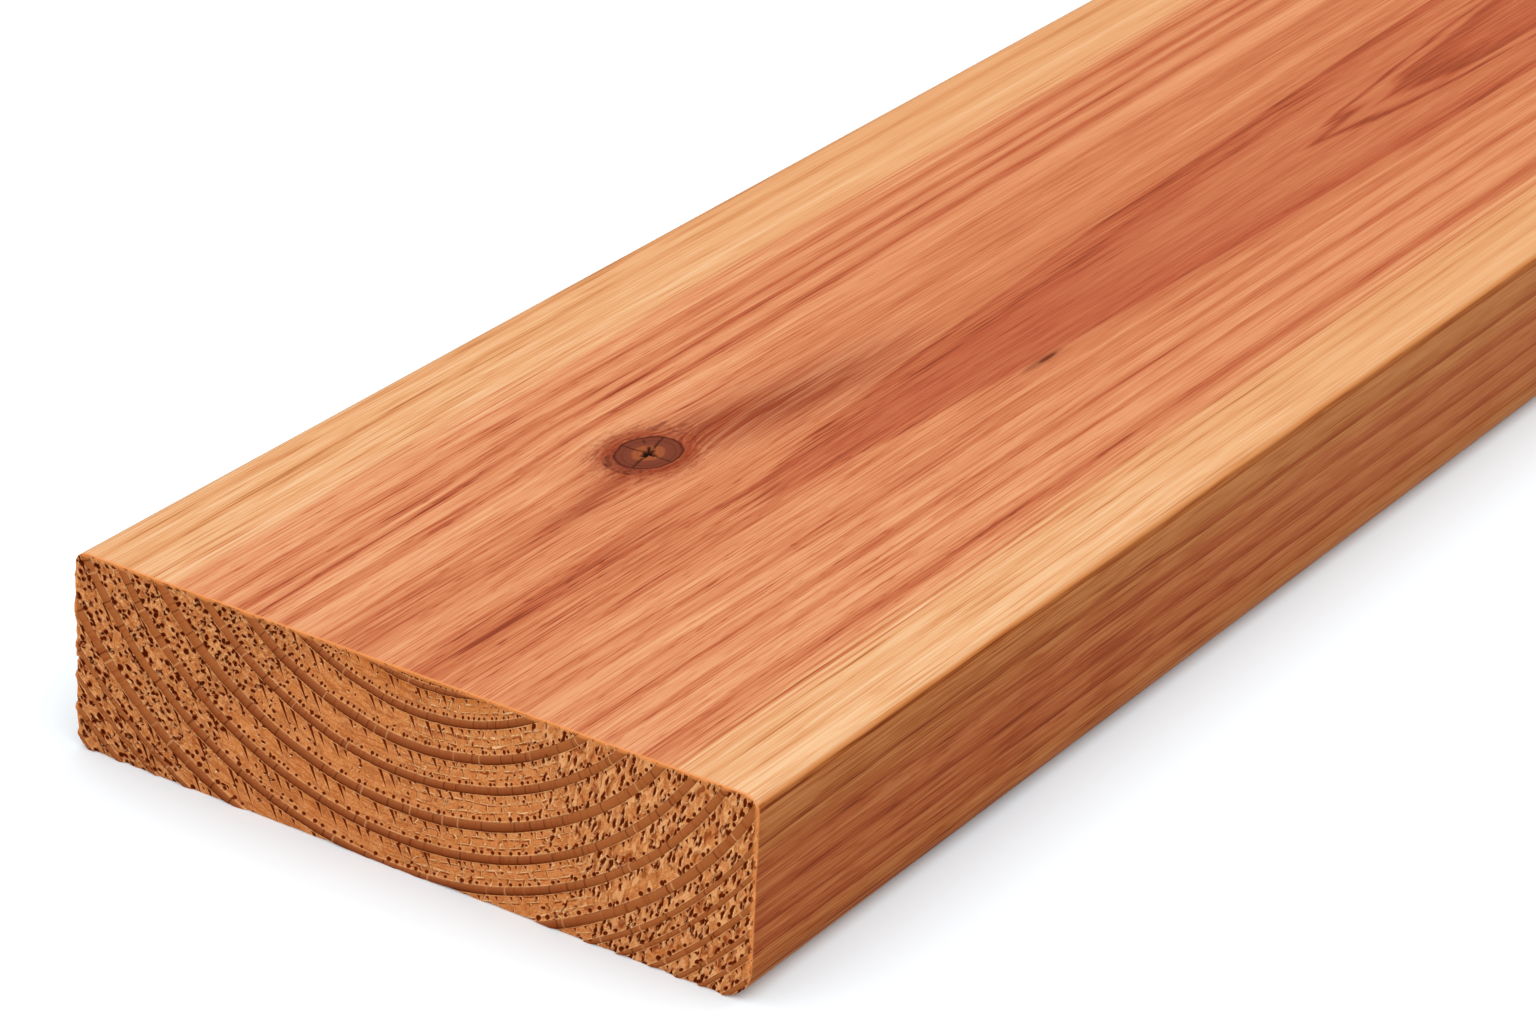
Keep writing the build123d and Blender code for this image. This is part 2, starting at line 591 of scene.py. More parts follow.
def knot_bark(s, y):
    """The crescent of bark on the knot's side towards the near end: 1 in it, over 1 along its outer edge."""
    share, angle = knot_polar(s, y)
    around = np.degrees(np.abs(np.angle(np.exp(1j * (angle - math.radians(BARK_ANGLE))))))
    width = BARK_WIDTH * smoothstep(*BARK_ENDS, around)
    inside = smoothstep(-0.03, 0.02, 1.0 + width - share) * smoothstep(0.02, 0.08, width)
    edge = bell((share - 1.0 - width) / 0.035) * smoothstep(0.06, 0.16, width)
    return np.maximum(inside, 2.0 * edge)


def add_attributes(mesh, s, y, z, mark):
    """Gives each point what its materials read."""
    parted = part_round_knot(s, y, z)
    radius, angle = ring_polar(s, parted, z)
    radius = radius + wander(s, radius, angle)
    share = knot_polar(s, y)[0]
    upper = z > THICKNESS - 2.0
    layers = {
        "grain": (s, parted, z),
        "ring": (radius, np.degrees(angle), ring_count(radius)),
        "marks": (mark, heartwood(y, z), flank_share(y, z)),
        "knot": (np.where(upper, share, NO_KNOT), knot_cracks(s, y) * upper, knot_bark(s, y) * upper),
        "stain": (knot_stain(s, y, z), *red_flame(s, y, z)),
        "place": (s, y, z),
    }
    for name, columns in layers.items():
        values = np.stack(columns, axis=-1).astype(np.float32)
        mesh.attributes.new(name, "FLOAT_VECTOR", "POINT").data.foreach_set("vector", values.ravel())


# Layout of the bake map, in pixels of a square of MAP_SIZE: rows of one face each, by width and height.
# The top and the right side have a second row, for the stretch past NEAR_LENGTH.

MAP_SIZE = 1024
MAP_GAP = 3.5
MAP_ROWS = {
    (NEAR_END, False): (1000, 272),
    (TOP, False): (1016, 236),
    (TOP, True): (1016, 110),
    (RIGHT, False): (1016, 76),
    (BOTTOM, False): (1016, 96),
    (RIGHT, True): (1016, 36),
    (LEFT, False): (1016, 60),
    (FAR_END, False): (400, 109),
}


def map_positions(points, faces, sides, whole_girth):
    """The place in the bake map of each corner of each face."""
    sizes = np.array([len(face) for face in faces])
    corners = points[np.concatenate(faces)]
    starts = np.cumsum(sizes) - sizes
    middles = np.add.reduceat(corners[:, 0], starts) / sizes
    second = np.repeat(np.isin(sides, (TOP, RIGHT)) & (middles > NEAR_LENGTH), sizes)
    side_of = np.repeat(sides, sizes)
    s, y, z, girth, _ = corners.T
    girth = np.where((side_of == LEFT) & (girth < WIDTH / 2), whole_girth, girth)
    is_end = np.isin(side_of, (NEAR_END, FAR_END))
    across = np.where(is_end, y, s)
    up = np.where(is_end, z, girth)
    uv = np.zeros((len(corners), 2))
    top = MAP_GAP
    for (side, is_second), (width, height) in MAP_ROWS.items():
        here = (side_of == side) & (second == is_second)
        for column, values, low, size in ((0, across, MAP_GAP, width), (1, up, top, height)):
            least = values[here].min()
            span = values[here].max() - least
            uv[here, column] = (low + (values[here] - least) / span * size) / MAP_SIZE
        top += height + MAP_GAP
    return uv


# Materials

TOP_LIGHT = 1.35  # light on each face, against what would show its own colour
# SIDE_LIGHT is more than the narrow faces get, which darkens their colours: painted shade
SIDE_LIGHT = 1.36
END_LIGHT = 1.1


def seen(light, *channels):
    """The linear colour of a surface that shows as these red, green and blue, 0 to 255, in such light."""
    shares = [channel / 255.0 for channel in channels]
    linear = [share / 12.92 if share <= 0.04045 else ((share + 0.055) / 1.055) ** 2.4 for share in shares]
    return (*(value / light for value in linear), 1.0)


def shades(light, *stops):
    """Stops of position and colour, from positions and the red, green and blue that show."""
    return [(position, seen(light, *channels)) for position, *channels in stops]


on_top = partial(seen, TOP_LIGHT)
on_end = partial(seen, END_LIGHT)

# Sockets of the mix node that mix colours
MIX_SHARE = 0
MIX_FIRST = 6
MIX_SECOND = 7
MIX_RESULT = 2

ROW_SHIFT = 17.31  # sets each row's beads apart from the next row's
BEAD_SCATTER = 0.8
HOLE_SCATTER = 0.75
HOLE_LEAST = 0.14  # radius of a hole, in cells
HOLE_SPREAD = 0.20
NOWHERE = 9.0  # added to a distance to put its pit out of reach
BRICK_LENGTH = 3.1
BRICK_HEIGHT = 1.7
BRICK_JOINT = 0.17
BRICK_SOFTNESS = 0.6
SPOT_BORDER = (1.3, 0.6)  # shares of a spot's radius between which it comes in


def operation(name):
    """A method that adds a math node, with the value as its first input."""
    return lambda self, *others: self.graph.math(name, self, *others)


class Value:
    """A node's output. Arithmetic with it adds the nodes that work it out."""

    __add__ = __radd__ = operation("ADD")
    __mul__ = __rmul__ = operation("MULTIPLY")
    __sub__ = operation("SUBTRACT")
    __truediv__ = operation("DIVIDE")
    __pow__ = operation("POWER")
    __abs__ = operation("ABSOLUTE")
    whole = operation("FLOOR")
    fraction = operation("FRACT")
    at_least = operation("MAXIMUM")
    at_most = operation("MINIMUM")
    is_over = operation("GREATER_THAN")

    def __init__(self, graph, socket):
        self.graph = graph
        self.socket = socket

    def __rsub__(self, other):
        return self.graph.math("SUBTRACT", other, self)

    def smooth(self, low, high):
        """Goes smoothly from 0 at low to 1 at high, or down if high is the smaller."""
        inputs = {"Value": self, "From Min": low, "From Max": high}
        return self.graph.value("Result", "MapRange", inputs, interpolation_type="SMOOTHSTEP")

    def toward(self, other, share):
        """A colour or tone between this one, at a share of 0, and another, at 1."""
        inputs = {MIX_SHARE: share, MIX_FIRST: self, MIX_SECOND: other}
        return self.graph.value(MIX_RESULT, "Mix", inputs, data_type="RGBA")

    def coats(self, *coats):
        """A colour with coats of others over it, each as thick as its share."""
        colour = self
        for other, share in coats:
            colour = colour.toward(other, share)
        return colour

    def ramp(self, stops):
        """A colour that follows this value through stops of position and colour, or number."""
        node = self.graph.node("ValToRGB", {0: self})
        elements = node.color_ramp.elements
        while len(elements) < len(stops):
            elements.new(0.5)
        for element, (position, colour) in zip(elements, stops):
            element.position = position
            element.color = colour if isinstance(colour, tuple) else (colour, colour, colour, 1.0)
        return Value(self.graph, node.outputs["Color"])

    def profile(self, points):
        """A number that follows this value through points of value and number."""
        first = points[0][0]
        span = points[-1][0] - first
        return ((self - first) / span).ramp([((at - first) / span, number) for at, number in points])


class Graph:
    """The nodes of a material or a world."""

    def __init__(self, owner):
        owner.use_nodes = True
        self.tree = owner.node_tree
        self.tree.nodes.clear()

    def node(self, kind, inputs=(), **settings):
        """Adds a node, sets its properties, and links or sets its inputs by name or number."""
        node = self.tree.nodes.new("ShaderNode" + kind)
        for name, setting in settings.items():
            setattr(node, name, setting)
        for key, value in dict(inputs).items():
            if isinstance(value, Value):
                self.tree.links.new(value.socket, node.inputs[key])
            else:
                node.inputs[key].default_value = value
        return node

    def value(self, output, kind, inputs=(), **settings):
        """Adds a node and gives one of its outputs, by name or number."""
        return Value(self, self.node(kind, inputs, **settings).outputs[output])

    def math(self, operation, *values):
        return self.value(0, "Math", dict(enumerate(values)), operation=operation)

    def attribute(self, name):
        """The three numbers of a point attribute."""
        vector = self.value("Vector", "Attribute", attribute_name=name)
        return [Value(self, socket) for socket in self.node("SeparateXYZ", {0: vector}).outputs]

    def place(self, x, y, z=0.0):
        return self.value(0, "CombineXYZ", {0: x, 1: y, 2: z})

    def noise(self, x, y, z=0.0, detail=2.0, roughness=0.5, distortion=0.0):
        """Noise between 0 and 1, with about one bump to a unit of x, y and z."""
        inputs = {"Vector": self.place(x, y, z), "Scale": 1.0, "Detail": detail, "Roughness": roughness}
        return self.value(0, "TexNoise", {**inputs, "Distortion": distortion})

    def scatter(self, dimensions, inputs):
        """Points, one to a cell: how far the nearest is, in cells, and a number from 0 to 1 of its own."""
        outputs = self.node("TexVoronoi", {"Scale": 1.0, **inputs}, voronoi_dimensions=dimensions).outputs
        own = self.value(0, "SeparateColor", {0: Value(self, outputs["Color"])})
        return Value(self, outputs["Distance"]), own

    def beads(self, along, row, spacing, seed):
        """Beads strung unevenly along rows: how far the nearest is in mm, and its own number."""
        place = along / spacing + ROW_SHIFT * row + seed
        distance, own = self.scatter("1D", {"W": place, "Randomness": BEAD_SCATTER})
        return spacing * distance, own

    def holes(self, across, along, cell, density):
        """Holes, one to a cell at most: how far the border of the nearest is in mm, less than 0 inside."""
        place = self.place(across / cell[0], along / cell[1])
        distance, own = self.scatter("2D", {"Vector": place, "Randomness": HOLE_SCATTER})
        return cell[0] * (distance - (HOLE_LEAST + HOLE_SPREAD * own)) + NOWHERE * own.is_over(density)

    def bricks(self, along, up):
        """1 in the joints of a brick bond and 0 in its bricks."""
        inputs = {
            "Vector": self.place(along, up),
            "Scale": 1.0,
            "Mortar Size": BRICK_JOINT,
            "Mortar Smooth": BRICK_SOFTNESS,
            "Brick Width": BRICK_LENGTH,
            "Row Height": BRICK_HEIGHT,
        }
        return self.value("Fac", "TexBrick", inputs)

    def far(self, x, y):
        """Distance of a point from zero."""
        return self.math("SQRT", x * x + y * y)

    def spot(self, s, y, spot):
        """The spot's strength inside its ellipse and 0 outside it, with a soft border."""
        along = (s - spot.s) / spot.half_length
        across = (y - spot.y) / spot.half_width
        return spot.strength * self.far(along, across).smooth(*SPOT_BORDER)

    def finish(self, colour, roughness, specular, height, height_mm, strength):
        """Closes a material with a shader that takes the colour, and bump from a height between 0 and 1."""
        bump = {"Strength": strength, "Distance": height_mm * MM, "Height": height}
        inputs = {"Base Color": colour, "Roughness": roughness, "Specular IOR Level": specular}
        inputs["Normal"] = self.value("Normal", "Bump", bump)
        self.node("OutputMaterial", {"Surface": self.value("BSDF", "BsdfPrincipled", inputs)})


# Planed faces

# Streaks where the rings come up through the top face, on a plain ground: each has its ring radius in mm, how
# far it comes and goes on the pith's side and on the other, and its tone, from 0, pale, to 1, dark
Streak = namedtuple("Streak", "radius rise fall tone")
HEART_RADII = (26.0, 44.0)
HEART_GROUND = 0.48
HEART_STREAKS = (
    Streak(27.5, 1.4, 0.1, 0.74),
    Streak(32.7, 2.0, 0.1, 0.74),
    Streak(33.2, 0.2, 0.1, 0.82),
    Streak(36.6, 2.2, 0.25, 0.71),
    Streak(39.4, 1.1, 1.1, 0.33),
)
LEFT_RADII = (43.5, 76.0)
LEFT_GROUND = 0.32
LEFT_STREAKS = (
    Streak(45.2, 1.0, 0.8, 0.22),
    Streak(47.2, 1.2, 1.3, 0.64),
    Streak(50.4, 1.0, 0.7, 0.70),
    Streak(52.4, 1.0, 1.1, 0.62),
    Streak(55.8, 1.1, 1.2, 0.60),
    Streak(63.1, 1.0, 0.9, 0.14),
    Streak(65.3, 0.9, 0.9, 0.46),
    Streak(69.4, 1.5, 1.0, 0.58),
    Streak(73.6, 1.6, 1.6, 0.52),
)
RIGHT_RADII = (43.5, 82.0)
RIGHT_GROUND = 0.30
RIGHT_STREAKS = (
    Streak(47.0, 1.2, 1.2, 0.46),
    Streak(50.3, 1.6, 1.6, 0.58),
    Streak(54.4, 0.9, 1.0, 0.54),
    Streak(61.2, 2.2, 2.8, 0.62),
    Streak(66.2, 1.6, 0.6, 0.56),
    Streak(68.9, 1.0, 1.0, 0.58),
    Streak(71.7, 1.3, 1.4, 0.52),
    Streak(76.3, 1.6, 1.2, 0.46),
    Streak(80.2, 1.4, 1.4, 0.42),
)
HEART_COLOURS = shades(
    TOP_LIGHT,
    (0.0, 248, 184, 136),
    (0.3, 235, 157, 110),
    (0.55, 217, 132, 87),
    (0.8, 194, 98, 62),
    (1.0, 150, 68, 40),
)
SAP_COLOURS = shades(
    TOP_LIGHT,
    (0.0, 252, 206, 158),
    (0.35, 242, 181, 128),
    (0.65, 229, 159, 104),
    (1.0, 192, 118, 68),
)
# The narrow faces' colours are darker than the broad faces': partly their own colour, partly painted shade
EDGE_HEART_COLOURS = shades(
    SIDE_LIGHT,
    (0.0, 198, 120, 68),
    (0.45, 174, 89, 42),
    (0.75, 154, 69, 28),
    (1.0, 130, 50, 14),
)
EDGE_SAP_COLOURS = shades(
    SIDE_LIGHT,
    (0.0, 200, 129, 72),
    (0.45, 175, 97, 43),
    (0.75, 152, 74, 26),
    (1.0, 128, 54, 12),
)
KNOT_COLOURS = shades(
    TOP_LIGHT,
    (0.0, 146, 72, 38),
    (0.28, 172, 92, 52),
    (0.44, 164, 86, 50),
    (0.56, 132, 66, 45),
    (0.90, 130, 63, 43),
    (0.97, 86, 34, 20),
    (1.0, 112, 48, 28),
)
# Near-black painted shade in the knot's cracks and check, over the depth the mesh cuts there
CRACK_SHADE_COLOUR = on_top(24, 5, 2)
BARK_COLOUR = on_top(140, 70, 48)
BARK_EDGE_COLOUR = on_top(84, 36, 22)
STAIN_COLOUR = on_top(146, 52, 26)
HALO_COLOUR = on_top(164, 70, 40)
FLAME_COLOUR = on_top(190, 92, 62)
POCKET_COLOUR = on_top(118, 48, 28)
SPECK_COLOUR = on_top(132, 54, 32)
ARRIS_HIGHLIGHT = on_top(248, 156, 88)
TURN_HIGHLIGHT = on_top(248, 152, 72)  # painted highlight where an upper long edge turns
ARRIS_HIGHLIGHT_DEPTH = (0.9, 0.3)  # painted highlight along the near end's edge: where it starts and is full
Spot = namedtuple("Spot", "s y half_length half_width strength")
RESIN_POCKET = (Spot(171.0, -20.0, 7.5, 1.0, 0.45), Spot(172.5, -20.1, 3.2, 0.5, 0.9))
KNOT_SPECKS = (
    Spot(103.0, 19.8, 2.6, 0.5, 0.7),
    Spot(105.5, 16.6, 1.6, 0.4, 0.6),
    Spot(107.0, 13.0, 3.6, 0.4, 0.6),
    Spot(82.0, 9.6, 2.2, 0.4, 0.5),
)
MIDDLE_TONE = 0.42  # streaks darken and pale about this tone
EVENED = (80.0, 260.0)  # marks along the grain are clear before the first s and fainter past the second
PLANED_ROUGHNESS = 0.6
PLANED_SPECULAR = 0.04
PLANED_BUMP = 0.08  # mm
PLANED_BUMP_STRENGTH = 0.5


def streak_tones(radii, ground, streaks):
    """Points of ring radius and tone for streaks on a plain ground, between two radii."""
    points = [(radii[0], ground)]
    for streak in streaks:
        points.append((streak.radius - streak.rise, ground))
        points.append((streak.radius, streak.tone))
        points.append((streak.radius + streak.fall, ground))
    points.append((radii[1], ground))
    return points


def planed_point(graph):
    """What the planed faces are laid out by: a point's attributes, and the marks that run along the grain."""
    at = SimpleNamespace()
    at.s, at.y, at.z = graph.attribute("grain")
    at.radius, at.angle, at.ring = graph.attribute("ring")
    _, at.heart, at.flank = graph.attribute("marks")
    at.knot, at.crack, at.bark = graph.attribute("knot")
    at.stain, at.flame, at.flame_line = graph.attribute("stain")
    at.true_s, at.true_y, _ = graph.attribute("place")
    at.evened = at.s.smooth(*EVENED)

    def stretched(along, across, detail=2.0, roughness=0.5):
        """Noise with these many bumps to a mm along the grain and across it."""
        return graph.noise(along * at.s, across * at.y, across * at.z, detail, roughness)

    at.streak = graph.noise(0.0035 * at.s, 1.5 * at.radius, 0.0, 3.0, 0.6)
    at.broad = stretched(0.004, 0.13)
    at.fibre = stretched(0.018, 1.2, 2.0, 0.6)
    at.hair = stretched(0.06, 2.3, 1.0)
    at.line = stretched(0.03, 3.0, 0.0).smooth(0.56, 0.70)
    at.thread = abs(stretched(0.035, 0.8, 1.0) - 0.5).smooth(0.09, 0.02)
    dash = stretched(0.20, 2.9, 0.0).smooth(0.64, 0.76)
    dash = dash * (0.25 + 0.75 * at.true_s.smooth(200.0, 60.0))
    at.dash = dash * (0.35 + 0.65 * at.heart.smooth(0.3, 0.8))
    return at


def ring_tone(graph, at):
    """Tone of the rings: the top face has streaks of its own, and the other faces plain rings."""
    ragged = graph.noise(0.012 * at.s, 0.5 * at.y)
    heart_radius = at.radius + 0.55 * (ragged - 0.5)
    left = at.radius.profile(streak_tones(LEFT_RADII, LEFT_GROUND, LEFT_STREAKS))
    right = at.radius.profile(streak_tones(RIGHT_RADII, RIGHT_GROUND, RIGHT_STREAKS))
    heart = heart_radius.profile(streak_tones(HEART_RADII, HEART_GROUND, HEART_STREAKS))
    outer = left.toward(right, at.angle.smooth(-3.0, 3.0))
    top = heart.toward(outer, at.radius.smooth(43.4, 44.2))
    plain = 0.30 + 0.42 * at.ring.fraction() ** 3.0
    tone = plain.toward(top, at.z.smooth(THICKNESS - 2.5, THICKNESS - 0.5))
    fading = graph.noise(0.007 * at.s, 0.5 * at.radius, 3.7)
    return MIDDLE_TONE + (0.75 + 0.7 * fading) * (tone - MIDDLE_TONE)


def planed_tone(graph, at):
    """Tone of the planed faces: the rings, the marks along the grain over them, and a painted edge highlight.
    """
    streaks = (
        0.40 * (at.streak - 0.5)
        + 0.40 * (at.broad - 0.5)
        + (0.34 + 0.05 * at.flank) * (at.fibre - 0.5)
        + (0.56 + 0.35 * at.flank) * (at.hair - 0.5)
    )
    thread_depth = 0.10 - 0.07 * at.evened + 0.10 * at.flank
    near_middle = at.s.smooth(95.0, 60.0) * abs(at.y).smooth(26.0, 12.0)
    # Painted highlight on the top face along its -Y edge
    edge_highlight = at.y.smooth(-61.0, -66.0) * (1.0 - at.flank)
    return (
        ring_tone(graph, at)
        + streaks * (1.0 - 0.35 * at.evened)
        + 0.20 * at.dash
        + 0.25 * (at.line - 0.15) * (1.0 - 0.5 * at.evened)
        + thread_depth * (at.thread - 0.35)
        + 0.20 * at.flame_line
        + 0.05 * at.flame
        + 0.05 * near_middle
        - 0.08 * edge_highlight
        + at.s.smooth(20.0, 240.0) * (0.10 - 0.26 * at.flank)
    )


def planed_colour(at, tone):
    """Heartwood and sapwood; narrow faces deeper in colour and in painted shade; painted highlight on upper
    edges.
    """
    ragged = at.heart + 1.5 * (at.streak - 0.5) + 0.6 * (at.fibre - 0.5)
    red = ragged.smooth(0.25, 0.75)
    sap_tone = 0.38 + (1.30 - 0.35 * at.evened) * (tone - 0.35)
    broad = sap_tone.ramp(SAP_COLOURS).toward(tone.ramp(HEART_COLOURS), red)
    narrow = tone.ramp(EDGE_SAP_COLOURS).toward(tone.ramp(EDGE_HEART_COLOURS), red)
    # Painted highlight on the rounded upper long edges
    turn_highlight = at.flank * (1.0 - at.flank) * at.z.smooth(THICKNESS / 2, THICKNESS - EASED_RADIUS)
    return broad.coats((FLAME_COLOUR, 0.42 * at.flame), (narrow, at.flank), (TURN_HIGHLIGHT, 1.8 * turn_highlight))


def stained_colour(graph, at, colour):
    """Adds the knot's stain, halo, flecks and swirls, and the resin pocket."""
    s = at.true_s
    y = at.true_y
    fray = graph.noise(0.22 * s, 1.1 * at.y, 0.0, 2.0, 0.6)
    frayed = at.knot + 2.6 * (fray - 0.5)
    fleck = graph.noise(0.5 * s, 1.3 * y, 0.0, 1.0).smooth(0.52, 0.64) * at.knot.smooth(2.4, 1.1)
    swirl = at.knot + 0.5 * graph.noise(0.16 * s, 0.22 * y, 0.0, 1.0)
    swirl = graph.noise(7.0 * swirl, 0.0, 0.0, 1.0).smooth(0.50, 0.62)
    swirl = swirl * at.knot.smooth(1.9, 1.2) * fray.smooth(0.45, 0.6)
    return colour.coats(
        (STAIN_COLOUR, at.stain * (0.55 + 0.35 * at.hair.smooth(0.38, 0.62))),
        *((POCKET_COLOUR, graph.spot(s, y, spot)) for spot in RESIN_POCKET),
        (HALO_COLOUR, 0.7 * frayed.smooth(1.75, 0.95)),
        (SPECK_COLOUR, 0.6 * fleck),
        (SPECK_COLOUR, 0.5 * swirl),
        *((SPECK_COLOUR, graph.spot(s, y, spot)) for spot in KNOT_SPECKS),
    )


def knot_colour(graph, at, colour):
    """Adds the knot's bark and rings, and painted shade in its cracks."""
    s = at.true_s
    y = at.true_y
    bark_fleck = at.bark.smooth(0.3, 1.6) * graph.noise(0.9 * s, 0.7 * y, 0.0, 1.0).smooth(0.47, 0.60)
    wobbled = at.knot + 0.16 * (graph.noise(0.35 * s, 0.35 * y) - 0.5)
    rings = graph.noise(11.0 * wobbled, 0.0, 0.0, 1.0).smooth(0.5, 0.64)
    return colour.coats(
        (BARK_COLOUR, 0.5 * at.bark.smooth(0.0, 1.0)),
        (BARK_EDGE_COLOUR, 0.8 * bark_fleck),
        (wobbled.ramp(KNOT_COLOURS).toward(BARK_EDGE_COLOUR, 0.35 * rings), wobbled.smooth(1.03, 0.98)),
        (CRACK_SHADE_COLOUR, at.crack),
    )


def long_grain():
    """Planed faces: streaks that follow the rings, fine fibres, dark dashes, pale sapwood and the knot."""
    material = bpy.data.materials.new("cedar_long_grain")
    graph = Graph(material)
    at = planed_point(graph)
    colour = planed_colour(at, planed_tone(graph, at))
    colour = knot_colour(graph, at, stained_colour(graph, at, colour))
    # Painted highlight on the long faces along the near end's edge
    colour = colour.toward(ARRIS_HIGHLIGHT, 0.8 * at.s.smooth(*ARRIS_HIGHLIGHT_DEPTH))
    height = 0.6 * at.fibre + 0.4 * at.hair - 0.35 * at.dash
    graph.finish(colour, PLANED_ROUGHNESS, PLANED_SPECULAR, height, PLANED_BUMP, PLANED_BUMP_STRENGTH)
    return material


# Sawn ends

# Bands go from a painted highlight on their upper edge to painted shade on their lower one, over their own
# darkening
LATEWOOD_COLOURS = shades(
    END_LIGHT,
    (0.0, 188, 114, 66),
    (0.10, 160, 90, 50),
    (0.40, 144, 76, 40),
    (0.70, 130, 62, 28),
    (0.86, 104, 44, 15),
    (1.0, 86, 31, 7),
)
PALE_BAND_COLOUR = on_end(170, 97, 50)
EARLYWOOD_COLOURS = shades(END_LIGHT, (0.2, 169, 83, 32), (0.5, 206, 126, 68), (0.8, 231, 166, 112))
HEART_PATCH_COLOUR = on_end(188, 100, 36)
# Painted shade in pits, slits and pores, and the colour of the dark ticks across the bands
PIT_COLOUR = on_end(66, 14, 1)
# Painted shade round the pits, under brick joints and in hollows, and the colour of dark stripes and waves
GROOVE_COLOUR = on_end(134, 49, 8)
# Painted highlight on rims, lips, lumps and the bands' upper edges, and the colour of pale joints and lines
RIM_COLOUR = on_end(248, 188, 130)
END_EDGE_HIGHLIGHT = on_end(236, 144, 76)
END_HIGHLIGHT_DEPTH = (0.9, 0.2)  # painted highlight along the top and the sides: how deep it starts and is full
ARC_RADIUS = 65.0  # lengths along a ring are as at this radius
RING_NARROWS = (79.0, 87.0)  # radii between which the rings turn narrow
WIDE_RING = 6.3
NARROW_RING = 3.5
COMB_LEAN = math.radians(24.0)  # slits in the combed stretch lean from straight down towards -Y
TEAR_LEAN = math.radians(14.0)  # lumps in the torn stretch lean the other way
TICK_SPACING = 3.4
SLIT_SPACING = 2.4
PORE_SPACING = 1.9
PORE_DEPTH = 0.46  # of the row of pores inside each band
HOLE_CELL = (1.3, 1.5)  # room for one hole, across the rings and along them
TEAR_CELL = (1.1, 3.6)  # and across the torn stretch's lean and along it
HOLE_WARP = 1.1  # how far holes are pulled out of shape
LIP_HIGHLIGHT_DROP = 0.30  # a hole's painted highlight lies on its lower lip, this far below it
# By angle in degrees: share of the cells that have a hole, and how dark the painted shade in pits is
HOLE_DENSITY = ((-60.0, 0.85), (-38.0, 0.80), (-27.0, 0.45), (-14.0, 0.10), (60.0, 0.05))
TEAR_DENSITY = ((-30.0, 0.0), (22.0, 0.0), (28.0, 0.30), (36.0, 0.62), (60.0, 0.70))
PIT_SHADE_STRENGTH = ((-60.0, 0.84), (-38.0, 0.84), (-24.0, 0.55), (18.0, 0.45), (34.0, 0.62), (60.0, 0.62))
SAWN_ROUGHNESS = 0.8
SAWN_BUMP = 0.7  # mm


def end_point(graph):
    """What the end grain is laid out by: a place on the rings, stretches of the face and broad noises."""
    at = SimpleNamespace()
    _, at.y, at.z = graph.attribute("grain")
    at.radius, at.angle, ring = graph.attribute("ring")
    at.mark, _, _ = graph.attribute("marks")
    at.arc = at.angle * math.radians(1.0) * ARC_RADIUS
    at.row = ring.whole()
    at.phase = ring.fraction()
    widths = {"Value": at.radius, "To Min": WIDE_RING, "To Max": NARROW_RING}
    widths["From Min"], widths["From Max"] = RING_NARROWS
    width = graph.value("Result", "MapRange", widths)
    at.since = at.phase * width
    at.until = (LATEWOOD_START - at.phase) * width
    at.pitted = at.angle.smooth(-24.0, -36.0)
    at.combed = at.angle.smooth(-40.0, -30.0) * at.angle.smooth(14.0, 4.0)
    at.bricked = at.angle.smooth(-6.0, 5.0) * at.angle.smooth(36.0, 28.0)
    at.torn = at.angle.smooth(26.0, 34.0)
    at.lean_across = at.z * -math.sin(TEAR_LEAN) - at.y * math.cos(TEAR_LEAN)
    at.lean_along = at.z * math.cos(TEAR_LEAN) - at.y * math.sin(TEAR_LEAN)
    at.patchy = graph.noise(0.45 * at.arc, 0.45 * at.radius, 8.0)
    at.waves = graph.noise(0.14 * at.arc, 0.8 * at.since, 7.7 * at.row, 1.0)
    at.darkness = at.angle.profile(PIT_SHADE_STRENGTH)
    return at


def latewood(graph, at):
    """Colour of the bands: they darken outwards, with ticks across, and pale towards the plank's sides."""
    band = ((at.phase - LATEWOOD_START) / (1.0 - LATEWOOD_START)).ramp(LATEWOOD_COLOURS)
    stripe = graph.noise(1.6 * at.arc, 0.08 * at.radius, 0.0, 2.0, 0.6)
    tick_off, tick_own = graph.beads(at.arc, at.row, TICK_SPACING, 80.0)
    tick = tick_off.smooth(0.22, 0.06)
    return band.coats(
        (PALE_BAND_COLOUR, 0.7 * abs(at.angle + 3.0).smooth(24.0, 42.0)),
        (GROOVE_COLOUR, 0.4 * stripe.smooth(0.52, 0.68)),
        (PIT_COLOUR, 0.55 * tick * tick_own.smooth(0.45, 0.55)),
        (RIM_COLOUR, 0.3 * tick * tick_own.smooth(0.18, 0.10)),
    )


